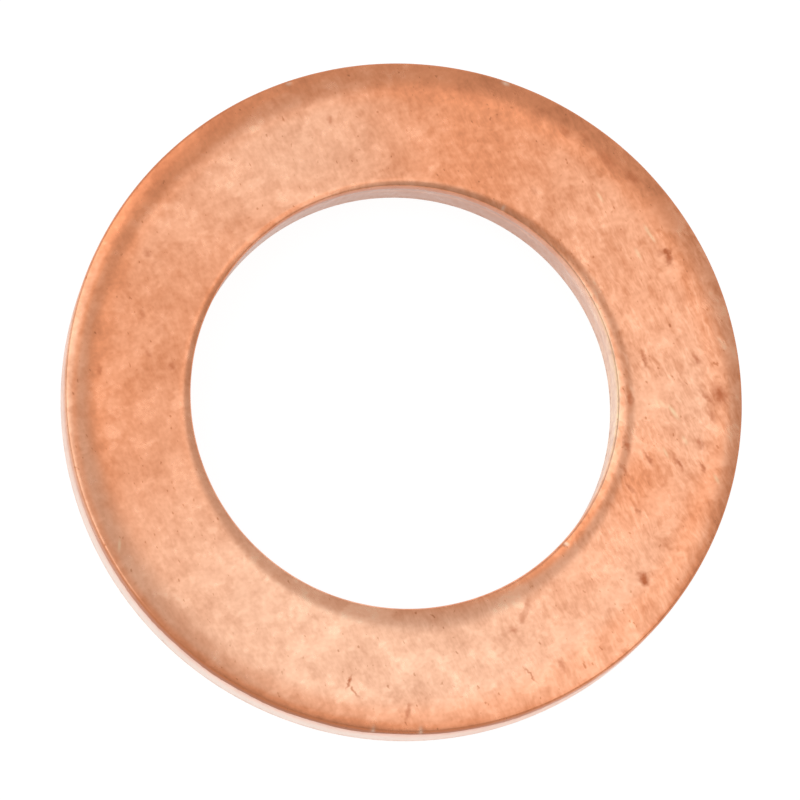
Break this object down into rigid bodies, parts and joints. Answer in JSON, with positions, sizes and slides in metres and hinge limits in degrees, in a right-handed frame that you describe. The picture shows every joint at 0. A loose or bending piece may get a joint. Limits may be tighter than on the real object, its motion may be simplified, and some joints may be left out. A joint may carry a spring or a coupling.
{
  "type": "crush washer",
  "caption": "Flat copper sealing ring with a plain round bore and rolled-over edges on its upper face, crushed under a bolt head or plug to seal a joint.",
  "frame": {"origin": "on the ring's axis, at its lower flat face", "axes": "+Z along the ring's axis, towards the face whose edges are rolled over; +X and +Y are equal across the ring"},
  "size_m": [0.016, 0.016, 0.0015],
  "materials": {
    "copper": "satin annealed copper with a thin tarnish and fine scratches"
  },
  "bodies": {
    "root": {"crush_washer": "copper"}
  },
  "joints": []
}
